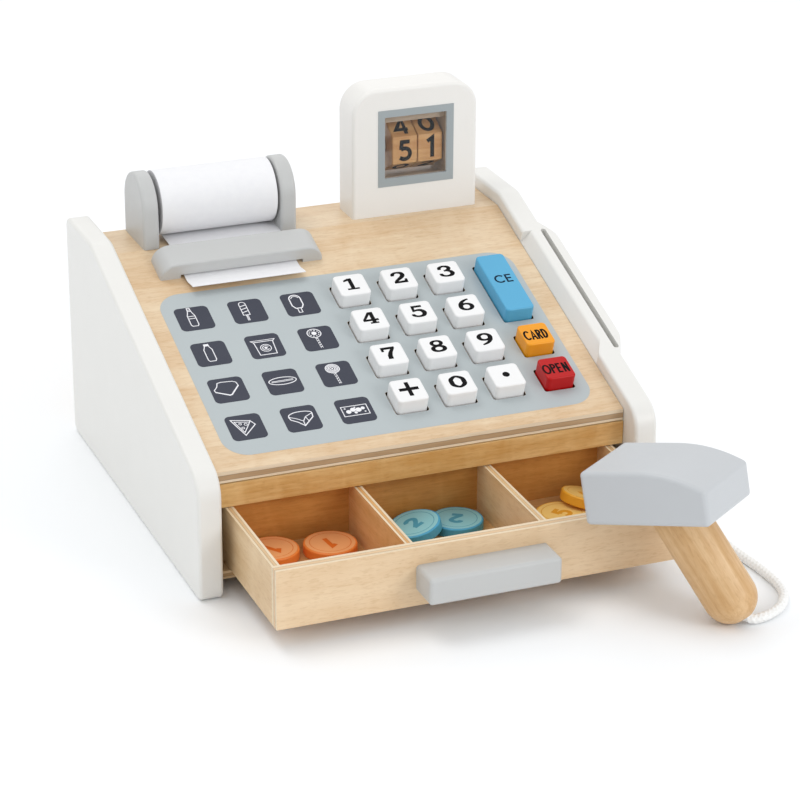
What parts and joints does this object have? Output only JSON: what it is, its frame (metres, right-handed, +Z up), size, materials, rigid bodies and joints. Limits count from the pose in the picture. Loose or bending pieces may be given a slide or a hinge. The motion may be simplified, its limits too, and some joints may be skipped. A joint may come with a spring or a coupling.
{
  "type": "toy cash register",
  "caption": "Wooden toy cash register with a sloping keypad deck, open coin drawer, number display, paper roll, card slot and a hand scanner on a rope.",
  "frame": {"origin": "middle of the footprint on the table, with the drawer open and without the rope", "axes": "+X to the register's right, +Y from the user to its back, +Z up"},
  "size_m": [0.2625, 0.3352, 0.182],
  "materials": {
    "white_paint": "satin paint",
    "birch": "clear lacquer",
    "drawer_birch": "clear lacquer",
    "warm_birch": "clear lacquer",
    "grey_paint": "satin paint",
    "scanner_paint": "satin paint",
    "scanner_handle_birch": "clear lacquer",
    "key_white": "gloss paint",
    "key_blue": "gloss paint",
    "key_amber": "gloss paint",
    "key_red": "gloss paint",
    "coin_orange": "satin paint",
    "coin_blue": "satin paint",
    "coin_yellow": "satin paint",
    "paper": "matt",
    "rope": "braided cotton",
    "steel": "zinc plated",
    "bezel": "printed grey",
    "window": "clear",
    "dark_wood": "plain"
  },
  "bodies": {
    "case": {"side_panel_left": "white_paint", "side_panel_right": "white_paint", "deck_panel": "birch", "top_panel": "birch", "back_panel": "birch", "base_panel": "birch", "front_rail": "warm_birch", "drawer_guides": "dark_wood", "case_dowels": "dark_wood", "wood_screws": "steel", "key_board": "dark_wood", "key_board_battens": "dark_wood", "key_springs": "steel", "roll_post_left": "grey_paint", "roll_post_right": "grey_paint", "roll_dowel": "dark_wood", "paper_strip": "paper", "paper_guide_bar": "grey_paint", "display_housing": "white_paint", "display_bezel": "bezel", "display_window": "window", "drum_axle": "dark_wood", "drum_spacer": "dark_wood", "scanner_cord": "rope"},
    "drawer": {"drawer_front": "drawer_birch", "drawer_side_left": "drawer_birch", "drawer_side_right": "drawer_birch", "drawer_back": "warm_birch", "drawer_floor": "drawer_birch", "drawer_divider_left": "drawer_birch", "drawer_divider_right": "drawer_birch", "drawer_handle": "grey_paint", "drawer_handle_screws": "steel", "coin_orange_left": "coin_orange", "coin_orange_right": "coin_orange", "coin_blue_flat": "coin_blue", "coin_blue_leaning": "coin_blue", "coin_yellow_flat": "coin_yellow", "coin_yellow_leaning": "coin_yellow"},
    "roll": {"paper_roll": "paper"},
    "drum_left": {"number_drum_left": "birch"},
    "drum_right": {"number_drum_right": "birch"},
    "scanner": {"scanner_head": "scanner_paint", "scanner_handle": "scanner_handle_birch"},
    "button_0": {"key_0": "key_white"},
    "button_1": {"key_1": "key_white"},
    "button_2": {"key_2": "key_white"},
    "button_3": {"key_3": "key_white"},
    "button_4": {"key_4": "key_white"},
    "button_5": {"key_5": "key_white"},
    "button_6": {"key_6": "key_white"},
    "button_7": {"key_7": "key_white"},
    "button_8": {"key_8": "key_white"},
    "button_9": {"key_9": "key_white"},
    "button_plus": {"key_plus": "key_white"},
    "button_dot": {"key_dot": "key_white"},
    "button_ce": {"key_ce": "key_blue"},
    "button_card": {"key_card": "key_amber"},
    "button_open": {"key_open": "key_red"}
  },
  "joints": [
    {"name": "drawer_slide", "type": "slide", "parent": "case", "child": "drawer", "axis": [0, -1, 0], "range_m": [-0.071, 0.002]},
    {"name": "roll_spin", "type": "hinge", "parent": "case", "child": "roll", "pos_m": [-0.0513, 0.1386, 0.132], "axis": [1, 0, 0], "continuous": true},
    {"name": "drum_left_spin", "type": "hinge", "parent": "case", "child": "drum_left", "pos_m": [0.0526, 0.1427, 0.147], "axis": [1, 0, 0], "continuous": true},
    {"name": "drum_right_spin", "type": "hinge", "parent": "case", "child": "drum_right", "pos_m": [0.0673, 0.1427, 0.147], "axis": [1, 0, 0], "continuous": true},
    {"name": "scanner_lift", "type": "slide", "parent": "case", "child": "scanner", "axis": [0, 0, 1], "range_m": [0, 0.05], "deforming": ["scanner_cord"]},
    {"name": "key_0_press", "type": "slide", "parent": "case", "child": "button_0", "axis": [0, 0.3234, -0.9463], "range_m": [0, 0.003], "stiffness_N_per_m": 200, "springref_m": -0.002, "deforming": ["key_springs"]},
    {"name": "key_1_press", "type": "slide", "parent": "case", "child": "button_1", "axis": [0, 0.3234, -0.9463], "range_m": [0, 0.003], "stiffness_N_per_m": 200, "springref_m": -0.002, "deforming": ["key_springs"]},
    {"name": "key_2_press", "type": "slide", "parent": "case", "child": "button_2", "axis": [0, 0.3234, -0.9463], "range_m": [0, 0.003], "stiffness_N_per_m": 200, "springref_m": -0.002, "deforming": ["key_springs"]},
    {"name": "key_3_press", "type": "slide", "parent": "case", "child": "button_3", "axis": [0, 0.3234, -0.9463], "range_m": [0, 0.003], "stiffness_N_per_m": 200, "springref_m": -0.002, "deforming": ["key_springs"]},
    {"name": "key_4_press", "type": "slide", "parent": "case", "child": "button_4", "axis": [0, 0.3234, -0.9463], "range_m": [0, 0.003], "stiffness_N_per_m": 200, "springref_m": -0.002, "deforming": ["key_springs"]},
    {"name": "key_5_press", "type": "slide", "parent": "case", "child": "button_5", "axis": [0, 0.3234, -0.9463], "range_m": [0, 0.003], "stiffness_N_per_m": 200, "springref_m": -0.002, "deforming": ["key_springs"]},
    {"name": "key_6_press", "type": "slide", "parent": "case", "child": "button_6", "axis": [0, 0.3234, -0.9463], "range_m": [0, 0.003], "stiffness_N_per_m": 200, "springref_m": -0.002, "deforming": ["key_springs"]},
    {"name": "key_7_press", "type": "slide", "parent": "case", "child": "button_7", "axis": [0, 0.3234, -0.9463], "range_m": [0, 0.003], "stiffness_N_per_m": 200, "springref_m": -0.002, "deforming": ["key_springs"]},
    {"name": "key_8_press", "type": "slide", "parent": "case", "child": "button_8", "axis": [0, 0.3234, -0.9463], "range_m": [0, 0.003], "stiffness_N_per_m": 200, "springref_m": -0.002, "deforming": ["key_springs"]},
    {"name": "key_9_press", "type": "slide", "parent": "case", "child": "button_9", "axis": [0, 0.3234, -0.9463], "range_m": [0, 0.003], "stiffness_N_per_m": 200, "springref_m": -0.002, "deforming": ["key_springs"]},
    {"name": "key_plus_press", "type": "slide", "parent": "case", "child": "button_plus", "axis": [0, 0.3234, -0.9463], "range_m": [0, 0.003], "stiffness_N_per_m": 200, "springref_m": -0.002, "deforming": ["key_springs"]},
    {"name": "key_dot_press", "type": "slide", "parent": "case", "child": "button_dot", "axis": [0, 0.3234, -0.9463], "range_m": [0, 0.003], "stiffness_N_per_m": 200, "springref_m": -0.002, "deforming": ["key_springs"]},
    {"name": "key_ce_press", "type": "slide", "parent": "case", "child": "button_ce", "axis": [0, 0.3234, -0.9463], "range_m": [0, 0.003], "stiffness_N_per_m": 200, "springref_m": -0.002, "deforming": ["key_springs"]},
    {"name": "key_card_press", "type": "slide", "parent": "case", "child": "button_card", "axis": [0, 0.3234, -0.9463], "range_m": [0, 0.003], "stiffness_N_per_m": 200, "springref_m": -0.002, "deforming": ["key_springs"]},
    {"name": "key_open_press", "type": "slide", "parent": "case", "child": "button_open", "axis": [0, 0.3234, -0.9463], "range_m": [0, 0.003], "stiffness_N_per_m": 200, "springref_m": -0.002, "deforming": ["key_springs"]}
  ]
}
